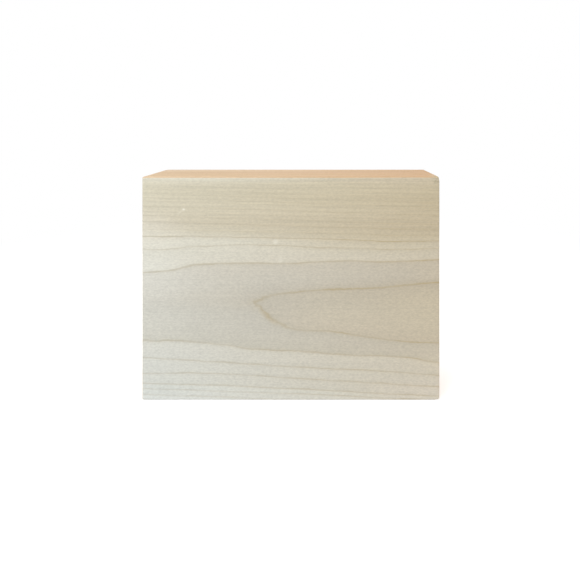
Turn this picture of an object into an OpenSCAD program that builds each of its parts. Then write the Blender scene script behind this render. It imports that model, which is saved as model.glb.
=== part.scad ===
// Wooden photo block: one solid piece of planed and sanded hardwood that stands
// on its long edge, with every arris lightly eased.
// Millimetres. X runs along the long edge, the front face looks to -Y and Z is up.
// The origin is the middle of the bottom edge face.

/* [Block] */
// Width, along the long edge that the block stands on
block_width = 203.2; // [100:0.1:400]
// Height, from the bottom edge face to the top edge face
block_height = 152.4; // [80:0.1:300]
// Thickness, from the front face to the back face
block_thickness = 44.45; // [12:0.05:80]

/* [Edges] */
// Radius of the eased arrises
arris_radius = 0.8; // [0.3:0.1:4]

/* [Hidden] */
// Enough segments for a smooth arris in a mesh preview
arris_segments = 32;
wood_colour = "#D8CDB4";

// Flat outline with four eased corners, centred on the origin
module eased_outline(length, breadth) {
    corner_x = length / 2 - arris_radius;
    corner_y = breadth / 2 - arris_radius;
    square([length, 2 * corner_y], center = true);
    square([2 * corner_x, breadth], center = true);
    for (side_x = [-1, 1], side_y = [-1, 1])
        translate([side_x * corner_x, side_y * corner_y])
            circle(r = arris_radius, $fn = arris_segments);
}

// Outline of the block seen from above, run up its height
module plan_run() {
    translate([0, 0, -block_height / 2])
        linear_extrude(height = block_height)
            eased_outline(block_width, block_thickness);
}

// Outline of the block seen from the front, run through its thickness
module front_run() {
    rotate([90, 0, 0])
        translate([0, 0, -block_thickness / 2])
            linear_extrude(height = block_thickness)
                eased_outline(block_width, block_height);
}

// Outline of the block seen from its end, run along its width
module end_run() {
    rotate([90, 0, 90])
        translate([0, 0, -block_width / 2])
            linear_extrude(height = block_width)
                eased_outline(block_thickness, block_height);
}

// The whole block: each pass of the easing follows four parallel arrises, and the
// three passes meet in a small blend at every corner
module block() {
    color(wood_colour)
        translate([0, 0, block_height / 2])
            intersection() {
                plan_run();
                front_run();
                end_run();
            }
}

block();
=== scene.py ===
import math

import bmesh
import bpy
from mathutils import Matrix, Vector, noise


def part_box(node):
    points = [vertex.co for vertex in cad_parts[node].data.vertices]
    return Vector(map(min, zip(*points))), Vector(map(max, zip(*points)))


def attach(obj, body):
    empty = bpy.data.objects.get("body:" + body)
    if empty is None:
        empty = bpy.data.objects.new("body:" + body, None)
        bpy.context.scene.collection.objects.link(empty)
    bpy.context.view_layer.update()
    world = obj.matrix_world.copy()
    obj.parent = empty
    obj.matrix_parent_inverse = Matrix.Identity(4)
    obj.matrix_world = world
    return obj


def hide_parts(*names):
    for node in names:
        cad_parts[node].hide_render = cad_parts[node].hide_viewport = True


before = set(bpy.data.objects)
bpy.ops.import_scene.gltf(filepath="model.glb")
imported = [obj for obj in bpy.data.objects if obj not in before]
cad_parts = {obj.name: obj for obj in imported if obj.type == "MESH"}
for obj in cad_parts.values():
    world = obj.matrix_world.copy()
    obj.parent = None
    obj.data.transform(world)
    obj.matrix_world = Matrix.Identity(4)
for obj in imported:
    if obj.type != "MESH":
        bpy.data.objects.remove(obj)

# metres everywhere, in the CAD frame: x along the long edge, front face to -y, z up
# the grain of the wood is worked out in millimetres
scene = bpy.context.scene
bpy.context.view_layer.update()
blockLow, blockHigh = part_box("block")
blockSize = blockHigh - blockLow
blockMiddle = (blockLow + blockHigh) / 2
mm = 0.001
print("frame: block of %.1f x %.1f x %.1f mm" % tuple(blockSize / mm))


def linear(hexColour):
    # sRGB hex to the linear colour that the shaders take
    channels = [int(hexColour[i:i + 2], 16) / 255 for i in (1, 3, 5)]
    return (*[c / 12.92 if c <= 0.04045 else ((c + 0.055) / 1.055) ** 2.4 for c in channels], 1)


def addNode(tree, kind, inputs=None, **settings):
    # one node with its settings; an input is a plain value, another node or one output of it
    node = tree.nodes.new("ShaderNode" + kind)
    for name, value in settings.items():
        setattr(node, name, value)
    for key, value in (inputs or {}).items():
        sockets = [s for s in node.inputs if s.enabled]
        socket = sockets[key] if isinstance(key, int) else next(s for s in sockets if s.name == key)
        if isinstance(value, bpy.types.Node):
            value = next(s for s in value.outputs if s.enabled)
        if isinstance(value, bpy.types.NodeSocket):
            tree.links.new(value, socket)
        else:
            socket.default_value = value
    return node


# camera: level and close, a little right of the middle and above the top edge

shot = {
    "lens": 25.86,  # on a 36 mm wide sensor
    "sensor": 36.0,
    "distance": 284.4 * mm,  # from the front face
    "aside": 22.8 * mm,
    "height": 189.5 * mm,
    "tilt": 90,  # degrees up from straight down, so level
    "shift": (-0.0590, -0.2887),  # the block sits low and left of the lens axis
    "clipStart": 10 * mm,
}


def makeCamera():
    data = bpy.data.cameras.new("camera")
    data.lens = shot["lens"]
    data.sensor_width = shot["sensor"]
    data.shift_x, data.shift_y = shot["shift"]
    data.clip_start = shot["clipStart"]
    camera = bpy.data.objects.new("camera", data)
    camera.location = (shot["aside"], blockLow.y - shot["distance"], shot["height"])
    camera.rotation_euler = (math.radians(shot["tilt"]), 0, 0)
    scene.collection.objects.link(camera)
    scene.camera = camera
    print("camera: %.0f mm from the front face" % (shot["distance"] / mm))


# studio: white floor, white surround and four large soft boxes

studio = {
    "floorSize": 8.0,
    "floorColour": "#F3F3F2",
    "floorLift": 0.36,  # the camera sees the floor a little lighter, the shadow stays
    "floorFade": (0.2, 0.6),  # from the block outwards the floor goes over to plain white
    "plainWhite": 1.0,  # strength that the camera sees as white
    "fill": 0.577,  # light from the surround
    "boxes": [
        {"name": "key box", "at": (-0.55, -0.62, 0.55), "size": 0.6, "power": 3.4},
        {"name": "top box", "at": (0.0, -0.05, 1.3), "size": 1.0, "power": 5.0},
        {"name": "rear box", "at": (0.1, 0.95, 0.3), "size": 0.7, "power": 1.4},
        {"name": "side box", "at": (0.95, 0.3, 0.22), "size": 0.6, "power": 1.5},
    ],
}


def seenDirectly(tree):
    # 1 for what the camera sees, straight on or in a shiny or clear surface
    path = addNode(tree, "LightPath")
    seen = addNode(tree, "Math", {0: path.outputs["Is Camera Ray"], 1: path.outputs["Is Glossy Ray"]},
                   operation="MAXIMUM")
    return addNode(tree, "Math", {0: seen, 1: path.outputs["Is Transmission Ray"]}, operation="MAXIMUM")


def makeFloor():
    half = studio["floorSize"] / 2
    mesh = bpy.data.meshes.new("floor")
    corners = [(-half, -half, 0), (half, -half, 0), (half, half, 0), (-half, half, 0)]
    mesh.from_pydata(corners, [], [(0, 1, 2, 3)])
    floor = bpy.data.objects.new("floor", mesh)
    floor.location.z = blockLow.z
    scene.collection.objects.link(floor)
    # matt white paint: no shine, so only the shadow shows on it
    paint = bpy.data.materials.new("matt white paint")
    paint.use_nodes = True
    tree = paint.node_tree
    tree.nodes.clear()
    seen = seenDirectly(tree)
    matt = addNode(tree, "BsdfDiffuse", {"Color": linear(studio["floorColour"])})
    lift = addNode(tree, "Math", {0: seen, 1: studio["floorLift"]}, operation="MULTIPLY")
    lifted = addNode(tree, "AddShader", {0: matt, 1: addNode(tree, "Emission", {"Strength": lift})})
    place = addNode(tree, "TexCoord")
    away = addNode(tree, "VectorMath", {0: place.outputs["Object"]}, operation="LENGTH")
    fade = addNode(tree, "MapRange", {"Value": away, "From Min": studio["floorFade"][0],
                                      "From Max": studio["floorFade"][1]}, interpolation_type="SMOOTHSTEP")
    fade = addNode(tree, "Math", {0: fade, 1: seen}, operation="MULTIPLY")
    plain = addNode(tree, "Emission", {"Color": (1, 1, 1, 1), "Strength": studio["plainWhite"]})
    both = addNode(tree, "MixShader", {0: fade, 1: lifted, 2: plain})
    addNode(tree, "OutputMaterial", {"Surface": both})
    mesh.materials.append(paint)


def makeLights():
    for box in studio["boxes"]:
        data = bpy.data.lights.new(box["name"], "AREA")
        data.energy = box["power"]
        data.size = box["size"]
        lamp = bpy.data.objects.new(box["name"], data)
        lamp.location = box["at"]
        lamp.rotation_euler = (blockMiddle - Vector(box["at"])).to_track_quat("-Z", "Y").to_euler()
        scene.collection.objects.link(lamp)
    world = bpy.data.worlds.new("surround")
    scene.world = world
    world.use_nodes = True
    tree = world.node_tree
    tree.nodes.clear()
    strength = addNode(tree, "MapRange", {"Value": seenDirectly(tree), "To Min": studio["fill"],
                                          "To Max": studio["plainWhite"]})
    white = addNode(tree, "Background", {"Color": (1, 1, 1, 1), "Strength": strength})
    addNode(tree, "OutputWorld", {"Surface": white})
    print("studio: floor, surround and %d soft boxes" % len(studio["boxes"]))


# the block itself: sawn to size, its arrises eased by hand with abrasive paper

block = {
    "arris": 0.8 * mm,  # radius of the easing
    "arrisSteps": 8,
    "arrisProfile": 0.5,  # a quarter circle
    "cell": 2.2 * mm,  # spacing of the cuts across the faces
    "nearArris": [1.5 * mm, 2.3 * mm, 3.3 * mm, 4.6 * mm],  # closer cuts by each arris
    "cutTolerance": 1e-7,
    "wear": 0.22 * mm,  # most that the paper took off along an arris
    "cornerWear": 1.4,  # times that at most where three arrises meet
    "leastWear": 1e-4,  # share below which a point counts as flat and isn't rubbed
    "wearLength": 14 * mm,  # along an arris, from one rubbed spot to the next
    "knocks": [  # small bruises at corners: side of x, y, z, reach and depth
        {"corner": (1, -1, 1), "reach": 3.2 * mm, "depth": 0.5 * mm},
        {"corner": (1, -1, -1), "reach": 3.6 * mm, "depth": 0.45 * mm},
        {"corner": (-1, 1, 1), "reach": 2.8 * mm, "depth": 0.35 * mm},
    ],
    "layoutGap": 1.5 * mm,  # between the faces when they are laid out flat
}


def cutPlaces(length):
    # where to cut across one axis, from the middle of the block
    ends = [length / 2 - gap for gap in block["nearArris"]]
    inner = ends[-1]
    count = max(1, round(2 * inner / block["cell"]))
    middle = [-inner + 2 * inner * i / count for i in range(1, count)]
    return sorted([-e for e in ends] + middle + ends)


def rubbed(place):
    # pulls a point of an arris in where the paper or a knock took wood off
    half = blockSize / 2
    out = Vector()
    for axis in range(3):
        over = abs(place[axis]) - (half[axis] - block["arris"])
        out[axis] = math.copysign(max(0.0, over) / block["arris"], place[axis])
    # nothing on the flat faces, 1 along the middle of an arris, more at a corner
    share = (1 - max(abs(c) for c in out)) / (1 - math.sqrt(0.5))
    if share > block["leastWear"]:
        patchy = 0.5 + 0.5 * noise.noise(place / block["wearLength"])
        place = place - out.normalized() * block["wear"] * min(share, block["cornerWear"]) * patchy
    for knock in block["knocks"]:
        corner = Vector(side * h for side, h in zip(knock["corner"], half))
        near = 1 - (place - corner).length / knock["reach"]
        if near > 0:
            place = place - corner.normalized() * knock["depth"] * near * near * (3 - 2 * near)
    return place


def unwrap(bm):
    # the six faces laid out flat in one square: front and back side by side, the narrow ones above
    gap = block["layoutGap"]
    width, depth, height = blockSize
    whole = width + 3 * depth + 5 * gap
    corner = {  # place of each face by the axis and side it looks to
        (1, -1): (gap, gap),
        (1, 1): (height + 2 * gap, gap),
        (2, 1): (gap, width + 2 * gap),
        (2, -1): (gap, width + depth + 3 * gap),
        (0, -1): (gap, width + 2 * depth + 4 * gap),
        (0, 1): (height + 2 * gap, width + 2 * depth + 4 * gap),
    }
    layer = bm.loops.layers.uv.new("OFBake")
    for face in bm.faces:
        axis = max(range(3), key=lambda i: abs(face.normal[i]))
        left, low = corner[(axis, 1 if face.normal[axis] > 0 else -1)]
        for loop in face.loops:
            x, y, z = loop.vert.co - blockLow
            across, up = {0: (z, y), 1: (z, x), 2: (x, y)}[axis]
            loop[layer].uv = ((left + across) / whole, (low + up) / whole)


def makeBlock():
    bm = bmesh.new()
    bmesh.ops.create_cube(bm, size=1)
    bmesh.ops.scale(bm, vec=blockSize, verts=bm.verts)
    bmesh.ops.bevel(bm, geom=bm.edges[:], offset=block["arris"], segments=block["arrisSteps"],
                    profile=block["arrisProfile"], affect="EDGES")
    for axis in range(3):
        normal = Vector(1.0 if i == axis else 0.0 for i in range(3))
        for place in cutPlaces(blockSize[axis]):
            everything = bm.verts[:] + bm.edges[:] + bm.faces[:]
            bmesh.ops.bisect_plane(bm, geom=everything, dist=block["cutTolerance"],
                                   plane_co=normal * place, plane_no=normal)
    for vert in bm.verts:
        vert.co = rubbed(vert.co.copy()) + blockMiddle
    bmesh.ops.recalc_face_normals(bm, faces=bm.faces[:])
    for face in bm.faces:
        face.smooth = True
    unwrap(bm)
    mesh = bpy.data.meshes.new("photo_block")
    bm.to_mesh(mesh)
    bm.free()
    piece = bpy.data.objects.new("photo_block", mesh)
    scene.collection.objects.link(piece)
    print("block: %d faces" % len(mesh.polygons))
    return piece


# the wood: one log in the round, so every face shows its own cut through the same rings
# lengths in mm; rings are numbered outwards, 1 for the first line that the front face cuts

wood = {
    "pith": (77.8, 62.3),  # y and z of the heart of the log, behind the back face
    "lean": (0.0147, 0.0332),  # fall of y and z of the heart per mm to the right
    "taper": (-0.010, 0.012),  # change of the radius per mm to the right, at these two radii
    "taperRadii": (94.3, 116.3),
    # radius of each ring line: those that stay behind the front face,
    # then those that it cuts above and below the heart
    "ringsInside": [59.4, 63.0, 68.3, 71.2, 76.5, 81.2, 84.1, 89.5, 93.2, 96.8],
    "ringsAbove": [100.53, 104.9, 108.65, 111.05, 112.8, 115.0, 117.0, 118.4, 120.4, 122.5, 123.6,
                   125.4, 127.2],
    "ringsBelow": [100.58, 103.95, 107.5, 110.7, 114.0, 115.5, 117.6],
    "innerGap": 4.4,  # spacing and number of the rings further in, then further out
    "innerRings": 8,
    "outerGap": 1.9,
    "outerRings": 13,
    "sideBlend": 6.0,  # above and below go over into each other within this height of the heart
    "wander": 0.3,  # slow unevenness of the rings, from none to full between these heights off the heart
    "wanderHeights": (5.0, 40.0),
    "ragged": 0.1,  # fine unevenness of each ring, which shows where the cut runs along it
    "swells": [  # where the rings bulge: x and z on the front face, reach and lift
        {"at": (-104, 90), "size": (48, 30), "lift": 1.15},
        {"at": (-20, 105), "size": (42, 8), "lift": -0.55},
        {"at": (66, 105), "size": (48, 11), "lift": 0.5},
        {"at": (64, 77), "size": (42, 11), "lift": 0.28},
        {"at": (102, 39), "size": (22, 10), "lift": 0.4},
        {"at": (-106, 39), "size": (44, 9), "lift": -0.6},
        {"at": (-27, 34), "size": (20, 8), "lift": -0.38},
        {"at": (70, 28), "size": (38, 8), "lift": 0.6},
        {"at": (96, 5), "size": (95, 18), "lift": -0.45},
        {"at": (-38, 15), "size": (50, 10), "lift": 0.5},
        {"at": (-106, 19), "size": (36, 8), "lift": -0.6},
        {"at": (102, 95), "size": (30, 8), "lift": -0.45},
        {"at": (36, 94), "size": (22, 7), "lift": -0.25},
        {"at": (-24, 59.5), "size": (20, 9), "lift": 0.22},
        {"at": (-4, 72), "size": (36, 9), "lift": -0.12},
        {"at": (4, 48.5), "size": (26, 8), "lift": -0.36},
        {"at": (-79, 89), "size": (17, 8), "lift": 0.3},
        {"at": (-6, 95), "size": (19, 7), "lift": 0.3},
        {"at": (-9, 36), "size": (17, 7), "lift": -0.35},
        {"at": (-85, 104), "size": (32, 7), "lift": 0.42},
        {"at": (70, 17), "size": (60, 9), "lift": 0.4},
    ],
    "swellDepth": 1000,  # so a swell goes on through the whole block
    "grain": {  # soft noise: size along x, y and z, the fibres coarser than real so that they show
        "slow": {"size": (16, 9, 9), "detail": 1.0},
        "ragged": {"size": (4, 2.5, 2.5), "detail": 1.0},
        "fine": {"size": (55, 0.75, 0.75), "detail": 2.0},
        "broad": {"size": (240, 1.2, 1.2), "detail": 2.0},
        "mottle": {"size": (1.8, 0.9, 0.9), "detail": 1.0},
    },
    "noiseSpan": (0.3, 0.7),  # what the noise mostly keeps to
    "gaps": (3.4, 1.9),  # ring spacing that the breadth of the lines reckons with, at these ring numbers
    "gapRings": (4.0, 6.0),
    "breadths": (0.045, 0.6),  # half breadth of the lines at the height of the heart and this far off it
    "breadthHeight": 90.0,
    "lineCore": 0.82,  # strength of the line itself and of the soft rim round it
    "lineRim": 0.18,
    "rimReach": 3.2,  # times the half breadth
    "lineBreaks": (0.55, 1.15),  # the lines fade and come back along their length
    "linesInside": [0.3, 0.5, 0.25, 0.4, 0.3, 0.5, 0.35, 0.3, 0.45, 0.35],  # strength of each line
    "linesAbove": [0.6, 0.55, 0.4, 0.66, 0.2, 0.17, 0.2, 0.15, 0.2, 0.15, 0.18, 0.15, 0.12, 0.1],
    "linesBelow": [0.5, 0.46, 0.43, 0.41, 0.42, 0.3, 0.24, 0.2],
    "lineColours": ("#ACA287", "#B19B69"),  # at the left and at the right end
    "endDepths": (0.7, 0.1),  # in from the end faces, where end grain begins and is full
    "endBreadth": 0.3,  # added to the half breadth in end grain
    "endLines": 0.42,  # strength of every line there
    "bandsAbove": [  # colour by ring number, at the left end
        (-9.0, "#CAC3B1"), (-2.0, "#CDC7B8"), (0.4, "#CECBBD"), (0.95, "#CBC7BA"), (1.05, "#C8C5BA"),
        (1.3, "#CDCBC1"), (1.95, "#D1CEC3"), (2.1, "#D8D6CA"), (3.5, "#D9D7CA"), (4.0, "#D6D2C3"),
        (4.6, "#D2CDBB"), (6.0, "#CEC7B3"), (9.5, "#D2CCB8"), (12.5, "#D0CAB5"), (15.5, "#D4CFBB"),
        (17.5, "#DCD7C7"),
    ],
    "bandsBelow": [
        (-9.0, "#CAC3B1"), (-2.0, "#CDC7B8"), (0.4, "#CDCABC"), (0.95, "#CAC6B9"), (1.05, "#C6C5BC"),
        (1.3, "#C9C8BF"), (1.95, "#C9C8BE"), (2.1, "#D3D3CB"), (3.5, "#D4D5CE"), (4.5, "#D5D6CF"),
        (5.5, "#DADDD8"), (7.0, "#DDE0DC"),
    ],
    "driftAndFalloffAbove": "#F1E7DA",  # warmer and darker towards the right end: partly the wood's own warmer tone, partly painted falloff of the light from the left
    "driftAndFalloffBelow": "#FAEFE1",
    "stainsAndHighlight": [  # soft patches on the front, one a painted highlight: x and z, half sizes, depth, turn if any, colour and strength
        {"at": (62, 110), "size": (105, 13), "depth": 25, "colour": "#C5B89C", "strength": 0.42},
        {"at": (100, 6), "size": (75, 16), "depth": 25, "colour": "#DED5C7", "strength": 0.5},
        {"at": (100, 68), "size": (55, 15), "depth": 25, "colour": "#D2C5AB", "strength": 0.4},
        {"at": (-104, 115), "size": (42, 20), "depth": 25, "colour": "#E3DED1", "strength": 0.5},
        {"at": (-102, 50), "size": (45, 24), "depth": 25, "colour": "#D8D6CB", "strength": 0.35},
        # painted highlight: a pale band along the top front arris at the left and middle
        {"at": (-62, 153), "size": (115, 8), "depth": 3, "colour": "#E6E2D5", "strength": 0.45},
        {"at": (-104, 86), "size": (58, 25), "depth": 25, "colour": "#E1E1D9", "strength": 0.4},
        {"at": (-14, 63), "size": (40, 38), "depth": 25, "colour": "#B4B2AA", "strength": 0.2},
        {"at": (-15.5, 57), "size": (12, 3), "depth": 25, "turn": 41, "colour": "#AE9B72", "strength": 0.4},
        {"at": (-58, 140), "size": (42, 10), "depth": 3, "colour": "#C8C1AC", "strength": 0.3},
        {"at": (104, 86), "size": (28, 9), "depth": 3, "colour": "#D6C8B0", "strength": 0.35},
        {"at": (104, 27), "size": (24, 18), "depth": 3, "colour": "#D8CDB8", "strength": 0.4},
        {"at": (-88, 8), "size": (45, 13), "depth": 3, "colour": "#CBCDC6", "strength": 0.3},
    ],
    "liveRings": (2.0, 6.0),  # above the heart the fibres grow livelier between these ring numbers
    "fineShare": (0.25, 0.45),  # fine fibres against the mottle
    "broadShare": (0.12, 0.28),  # broad fibres against both
    "fibreShade": (0.48, 0.68),  # contrast of them all
    "ringShade": (0.015, 0.045),  # each ring is a little darker towards its line, more so in end grain
    "flecks": [  # pale specks on the front face: x and z, half sizes, depth, turn if any and strength
        {"at": (-73.2, 130.2), "size": (1.5, 1.2), "depth": 1, "strength": 0.7},
        {"at": (-75.9, 128.1), "size": (3.6, 0.9), "depth": 1, "turn": -32, "strength": 0.2},
        {"at": (-10.4, 108.1), "size": (2.4, 3.0), "depth": 1, "strength": 0.36},
        {"at": (-7.0, 95.8), "size": (2.2, 3.4), "depth": 1, "strength": 0.2},
    ],
    "fleckColour": "#F4F1E6",
    "bruise": {"at": (99.6, 149.6), "size": (4.2, 3.0), "depth": 2, "colour": "#8C8462", "strength": 0.5},
    "speckle": (0.35, 0.6),  # part of the mottle that breaks the bruise up
    "edgeTints": ("#FFE3CA", "#F4CFA8"),  # top and bottom, left to right: painted warm light, the warmth that light from above gives the top, carried onto the bottom too
    "endWarmth": "#FEDEC1",  # a warm tint on the ends as well
    "endTint": "#F9F4EE",  # end grain takes more of the light in, on its arrises too
    "edgeDepths": (1.0, 0.55),  # in from the broad faces, where the warm colour is full and where it ends
    "wrap": (0.76, 0.58),  # it reaches this much further over the top arrises, at the left and right end
    "wrapFrom": 0.45,  # share of the width where that begins to change
    "wrapHeights": (1.5, 0.6),  # below the top, where it begins and is full
    # the warm colour gives way to a pale one at this corner of the top
    "paleCorner": {"at": (101.6, 152.4), "size": (9, 4), "depth": 14, "colour": "#F0EAD6", "strength": 0.9},
    "roughness": (0.54, 0.66),  # of the pale and of the dark fibres
    "bump": 0.25,  # how strongly the fibres stand out to the light, and how far
    "bumpHeight": 0.06,
    "ior": 1.5,
}


def setPoints(curve, places):
    # straight stretches from point to point
    points = curve.mapping.curves[0].points
    while len(points) < len(places):
        points.new(0.5, 0.5)
    for point, where in zip(points, places):
        point.location = where
        point.handle_type = "VECTOR"
    curve.mapping.update()


def ringCount(tree, radius, rings):
    # numbers the rings outwards: a whole number on each line
    inside = len(wood["ringsInside"])
    first = 1 - inside - wood["innerRings"]
    last = len(rings) + wood["outerRings"]
    low = wood["ringsInside"][0] - wood["innerRings"] * wood["innerGap"]
    high = rings[-1] + wood["outerRings"] * wood["outerGap"]
    radii = [low, *wood["ringsInside"], *rings, high]
    numbers = [first, *range(1 - inside, len(rings) + 1), last]
    place = addNode(tree, "MapRange", {"Value": radius, "From Min": low, "From Max": high})
    curve = addNode(tree, "FloatCurve", {"Value": place})
    places = [((r - low) / (high - low), (n - first) / (last - first)) for r, n in zip(radii, numbers)]
    setPoints(curve, places)
    return addNode(tree, "MapRange", {"Value": curve, "To Min": first, "To Max": last})


def bandColour(tree, count, bands):
    # colour of the wood by ring number
    first, last = bands[0][0], bands[-1][0]
    place = addNode(tree, "MapRange", {"Value": count, "From Min": first, "From Max": last})
    ramp = addNode(tree, "ValToRGB", {"Fac": place})
    stops = ramp.color_ramp.elements
    while len(stops) < len(bands):
        stops.new(1.0)
    for stop, (number, colour) in zip(stops, bands):
        stop.position = (number - first) / (last - first)
        stop.color = linear(colour)
    return ramp


def lineStrength(tree, number, strengths):
    # how strongly each ring line is drawn
    strengths = wood["linesInside"] + strengths
    first = 1 - len(wood["linesInside"])
    last = len(strengths) - 1
    place = addNode(tree, "MapRange", {"Value": number, "From Min": first, "From Max": first + last})
    curve = addNode(tree, "FloatCurve", {"Value": place})
    setPoints(curve, [(i / last, strength) for i, strength in enumerate(strengths)])
    return curve


def nearSpot(tree, place, spot, most):
    # most at a spot of the front face, nothing beyond its size
    where = addNode(tree, "Mapping", {
        "Vector": place,
        "Location": (spot["at"][0], blockLow.y / mm, spot["at"][1]),
        "Rotation": (0, math.radians(spot.get("turn", 0)), 0),
        "Scale": (spot["size"][0], spot.get("depth", wood["swellDepth"]), spot["size"][1]),
    }, vector_type="TEXTURE")
    away = addNode(tree, "VectorMath", {0: where}, operation="LENGTH")
    return addNode(tree, "MapRange", {"Value": away, "To Min": most, "To Max": 0.0},
                   interpolation_type="SMOOTHSTEP")


def makeWood():
    # pale plain-sawn tulipwood: soft, even sheen, fine dark ring lines and faint fibres
    material = bpy.data.materials.new("tulipwood, planed and sanded")
    material.use_nodes = True
    tree = material.node_tree
    tree.nodes.clear()
    place = addNode(tree, "TexCoord")
    place = addNode(tree, "VectorMath", {0: place.outputs["Object"], "Scale": 1 / mm}, operation="SCALE")
    x, y, z = addNode(tree, "SeparateXYZ", {0: place}).outputs
    left, right = blockLow.x / mm, blockHigh.x / mm
    back, top = blockHigh.y / mm, blockHigh.z / mm
    grain = {}
    for name, pattern in wood["grain"].items():
        scaled = addNode(tree, "VectorMath", {0: place, 1: [1 / size for size in pattern["size"]]},
                         operation="MULTIPLY")
        grain[name] = addNode(tree, "TexNoise", {"Vector": scaled, "Scale": 1.0, "Detail": pattern["detail"]})

    # radius from the heart of the log, with its taper, its swells, a slow wander and a fine raggedness
    aside = addNode(tree, "Math", {0: x, 1: wood["lean"][0], 2: y}, operation="MULTIPLY_ADD")
    aside = addNode(tree, "Math", {0: aside, 1: wood["pith"][0]}, operation="SUBTRACT")
    above = addNode(tree, "Math", {0: x, 1: wood["lean"][1], 2: z}, operation="MULTIPLY_ADD")
    above = addNode(tree, "Math", {0: above, 1: wood["pith"][1]}, operation="SUBTRACT")
    across = addNode(tree, "CombineXYZ", {"Y": aside, "Z": above})
    plainRadius = addNode(tree, "VectorMath", {0: across}, operation="LENGTH")
    taper = addNode(tree, "MapRange", {
        "Value": plainRadius, "From Min": wood["taperRadii"][0], "From Max": wood["taperRadii"][1],
        "To Min": wood["taper"][0], "To Max": wood["taper"][1]})
    radius = addNode(tree, "Math", {0: x, 1: taper, 2: plainRadius}, operation="MULTIPLY_ADD")
    for swell in wood["swells"]:
        lift = nearSpot(tree, place, swell, swell["lift"])
        radius = addNode(tree, "Math", {0: radius, 1: lift}, operation="ADD")
    wander = addNode(tree, "MapRange", {"Value": grain["slow"], "To Min": -wood["wander"],
                                        "To Max": wood["wander"]})
    height = addNode(tree, "Math", {0: above}, operation="ABSOLUTE")
    steady = addNode(tree, "MapRange", {"Value": height, "From Min": wood["wanderHeights"][0],
                                        "From Max": wood["wanderHeights"][1]})
    radius = addNode(tree, "Math", {0: wander, 1: steady, 2: radius}, operation="MULTIPLY_ADD")
    ragged = addNode(tree, "MapRange", {"Value": grain["ragged"], "To Min": -wood["ragged"],
                                        "To Max": wood["ragged"]})
    radius = addNode(tree, "Math", {0: radius, 1: ragged}, operation="ADD")

    # ring number, above and below the heart, and the place within the ring
    side = addNode(tree, "MapRange", {"Value": above, "From Min": -wood["sideBlend"],
                                      "From Max": wood["sideBlend"]}, interpolation_type="SMOOTHSTEP")
    count = addNode(tree, "Mix", {"Factor": side, "A": ringCount(tree, radius, wood["ringsBelow"]),
                                  "B": ringCount(tree, radius, wood["ringsAbove"])})
    part = addNode(tree, "Math", {0: count}, operation="FRACT")
    nearest = addNode(tree, "Math", {0: count}, operation="ROUND")
    gap = addNode(tree, "MapRange", {
        "Value": count, "From Min": wood["gapRings"][0], "From Max": wood["gapRings"][1],
        "To Min": wood["gaps"][0], "To Max": wood["gaps"][1]})

    # the thin line that ends each ring, finer near the heart where the cut runs along the ring
    out = addNode(tree, "Math", {0: x}, operation="ABSOLUTE")
    end = addNode(tree, "MapRange", {
        "Value": out, "From Min": right - wood["endDepths"][0],
        "From Max": right - wood["endDepths"][1]}, interpolation_type="SMOOTHSTEP")
    breadth = addNode(tree, "MapRange", {"Value": height, "From Max": wood["breadthHeight"],
                                         "To Min": wood["breadths"][0], "To Max": wood["breadths"][1]})
    breadth = addNode(tree, "Math", {0: end, 1: wood["endBreadth"], 2: breadth}, operation="MULTIPLY_ADD")
    # distance from the nearest line: as part of a ring, then in mm, then in half breadths
    off = addNode(tree, "Math", {0: count, 1: 0.5}, operation="PINGPONG")
    off = addNode(tree, "Math", {0: off, 1: gap}, operation="MULTIPLY")
    off = addNode(tree, "Math", {0: off, 1: breadth}, operation="DIVIDE")
    line = addNode(tree, "MapRange", {"Value": off, "To Min": wood["lineCore"], "To Max": 0.0},
                   interpolation_type="SMOOTHSTEP")
    soft = addNode(tree, "MapRange", {"Value": off, "From Max": wood["rimReach"], "To Min": wood["lineRim"],
                                      "To Max": 0.0}, interpolation_type="SMOOTHSTEP")
    line = addNode(tree, "Math", {0: line, 1: soft}, operation="ADD")
    strength = addNode(tree, "Mix", {"Factor": side, "A": lineStrength(tree, nearest, wood["linesBelow"]),
                                     "B": lineStrength(tree, nearest, wood["linesAbove"])})
    strength = addNode(tree, "Mix", {"Factor": end, "A": strength, "B": wood["endLines"]})
    line = addNode(tree, "Math", {0: line, 1: strength}, operation="MULTIPLY")
    broken = addNode(tree, "MapRange", {
        "Value": grain["slow"], "From Min": wood["noiseSpan"][0], "From Max": wood["noiseSpan"][1],
        "To Min": wood["lineBreaks"][0], "To Max": wood["lineBreaks"][1]})
    line = addNode(tree, "Math", {0: line, 1: broken}, operation="MULTIPLY")

    # ground colour by ring, warmer and darker to the right, partly painted falloff of the light, with its
    # soft patches
    colour = addNode(tree, "Mix", {"Factor": side, "A": bandColour(tree, count, wood["bandsBelow"]),
                                   "B": bandColour(tree, count, wood["bandsAbove"])}, data_type="RGBA")
    along = addNode(tree, "MapRange", {"Value": x, "From Min": left, "From Max": right})
    # painted falloff of the light from the left, mixed with the wood's own warmer tone to the right
    driftAndFalloff = addNode(tree, "Mix", {"Factor": side, "A": linear(wood["driftAndFalloffBelow"]),
                                 "B": linear(wood["driftAndFalloffAbove"])}, data_type="RGBA")
    colour = addNode(tree, "Mix", {"Factor": along, "A": colour, "B": driftAndFalloff}, data_type="RGBA",
                     blend_type="MULTIPLY")
    # soft stains, and one painted highlight along the top front arris
    for softPatch in wood["stainsAndHighlight"]:
        amount = nearSpot(tree, place, softPatch, softPatch["strength"])
        colour = addNode(tree, "Mix", {"Factor": amount, "A": colour, "B": linear(softPatch["colour"])},
                         data_type="RGBA")

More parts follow.
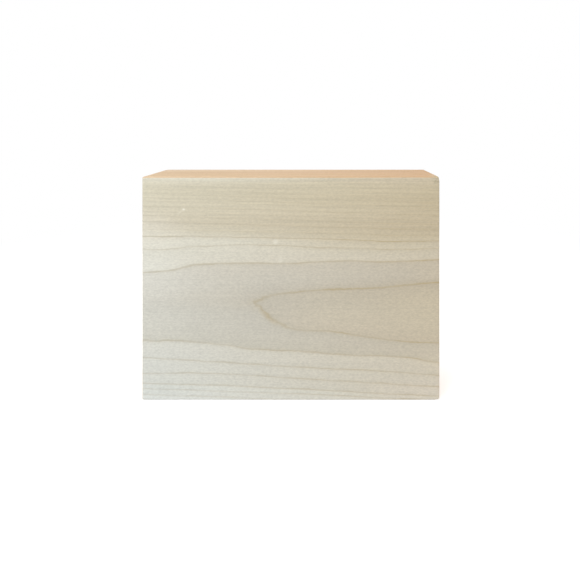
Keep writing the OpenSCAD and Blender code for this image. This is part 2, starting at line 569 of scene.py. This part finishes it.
    # fibres along x: fine ones, broad ones and a short mottle
    outer = addNode(tree, "Math", {0: count, 1: side}, operation="MULTIPLY")
    live = {}
    for name in ("fineShare", "broadShare", "fibreShade"):
        live[name] = addNode(tree, "MapRange", {
            "Value": outer, "From Min": wood["liveRings"][0], "From Max": wood["liveRings"][1],
            "To Min": wood[name][0], "To Max": wood[name][1]})
    fibre = addNode(tree, "Mix", {"Factor": live["fineShare"], "A": grain["mottle"], "B": grain["fine"]})
    fibre = addNode(tree, "Mix", {"Factor": live["broadShare"], "A": fibre, "B": grain["broad"]})
    swing = addNode(tree, "Math", {0: 0.5, 1: fibre}, operation="SUBTRACT")
    ringShade = addNode(tree, "MapRange", {"Value": end, "To Min": wood["ringShade"][0],
                                           "To Max": wood["ringShade"][1]})
    inRing = addNode(tree, "MapRange", {"Value": part, "To Min": 1.0, "To Max": -1.0})
    ringShade = addNode(tree, "Math", {0: inRing, 1: ringShade, 2: 1.0}, operation="MULTIPLY_ADD")
    shade = addNode(tree, "Math", {0: swing, 1: live["fibreShade"], 2: ringShade}, operation="MULTIPLY_ADD")
    colour = addNode(tree, "VectorMath", {0: colour, "Scale": shade}, operation="SCALE")
    dense = addNode(tree, "Mix", {"Factor": along, "A": linear(wood["lineColours"][0]),
                                  "B": linear(wood["lineColours"][1])}, data_type="RGBA")
    colour = addNode(tree, "Mix", {"Factor": line, "A": colour, "B": dense}, data_type="RGBA")

    # pale specks and a bruised corner, on the front face and just behind it
    for fleck in wood["flecks"]:
        pale = nearSpot(tree, place, fleck, fleck["strength"])
        colour = addNode(tree, "Mix", {"Factor": pale, "A": colour, "B": linear(wood["fleckColour"])},
                         data_type="RGBA")
    bruise = wood["bruise"]
    dark = nearSpot(tree, place, bruise, bruise["strength"])
    speckle = addNode(tree, "MapRange", {"Value": grain["mottle"], "From Min": wood["speckle"][0],
                                         "From Max": wood["speckle"][1]})
    dark = addNode(tree, "Math", {0: dark, 1: speckle}, operation="MULTIPLY")
    colour = addNode(tree, "Mix", {"Factor": dark, "A": colour, "B": linear(bruise["colour"])},
                     data_type="RGBA")

    # narrow faces and end grain, with warm light from above painted onto the top
    out = addNode(tree, "Math", {0: y}, operation="ABSOLUTE")
    wrap = addNode(tree, "MapRange", {"Value": along, "From Min": wood["wrapFrom"], "To Min": wood["wrap"][0],
                                      "To Max": wood["wrap"][1]})
    upper = addNode(tree, "MapRange", {"Value": z, "From Min": top - wood["wrapHeights"][0],
                                       "From Max": top - wood["wrapHeights"][1], "To Max": wrap})
    out = addNode(tree, "Math", {0: out, 1: upper}, operation="SUBTRACT")
    edge = addNode(tree, "MapRange", {
        "Value": out, "From Min": back - wood["edgeDepths"][0], "From Max": back - wood["edgeDepths"][1],
        "To Min": 1.0, "To Max": 0.0}, interpolation_type="SMOOTHSTEP")
    # painted warm light: the warm colour of the top stands in for warm light from above, the same tint goes
    # on the bottom
    warmLightAndTint = addNode(tree, "Mix", {"Factor": along, "A": linear(wood["edgeTints"][0]),
                                  "B": linear(wood["edgeTints"][1])}, data_type="RGBA")
    warmLightAndTint = addNode(tree, "Mix", {"Factor": end, "A": warmLightAndTint, "B": linear(wood["endWarmth"])}, data_type="RGBA")
    corner = wood["paleCorner"]
    paleTop = nearSpot(tree, place, corner, corner["strength"])
    warmLightAndTint = addNode(tree, "Mix", {"Factor": paleTop, "A": warmLightAndTint, "B": linear(corner["colour"])},
                    data_type="RGBA")
    colour = addNode(tree, "Mix", {"Factor": edge, "A": colour, "B": warmLightAndTint}, data_type="RGBA",
                     blend_type="MULTIPLY")
    colour = addNode(tree, "Mix", {"Factor": end, "A": colour, "B": linear(wood["endTint"])},
                     data_type="RGBA", blend_type="MULTIPLY")

    # sanded bare wood: dull, a little more so on the dark fibres
    rough = addNode(tree, "MapRange", {
        "Value": fibre, "From Min": wood["noiseSpan"][0], "From Max": wood["noiseSpan"][1],
        "To Min": wood["roughness"][0], "To Max": wood["roughness"][1]})
    bump = addNode(tree, "Bump", {"Height": fibre, "Strength": wood["bump"],
                                  "Distance": wood["bumpHeight"] * mm})
    shader = addNode(tree, "BsdfPrincipled", {"Base Color": colour, "Roughness": rough, "IOR": wood["ior"],
                                              "Normal": bump})
    addNode(tree, "OutputMaterial", {"Surface": shader})
    print("wood: %d nodes" % len(tree.nodes))
    return material


makeCamera()
makeFloor()
makeLights()
piece = makeBlock()
piece.data.materials.append(makeWood())
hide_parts("block")
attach(piece, "root")

scene.view_settings.view_transform = "Standard"
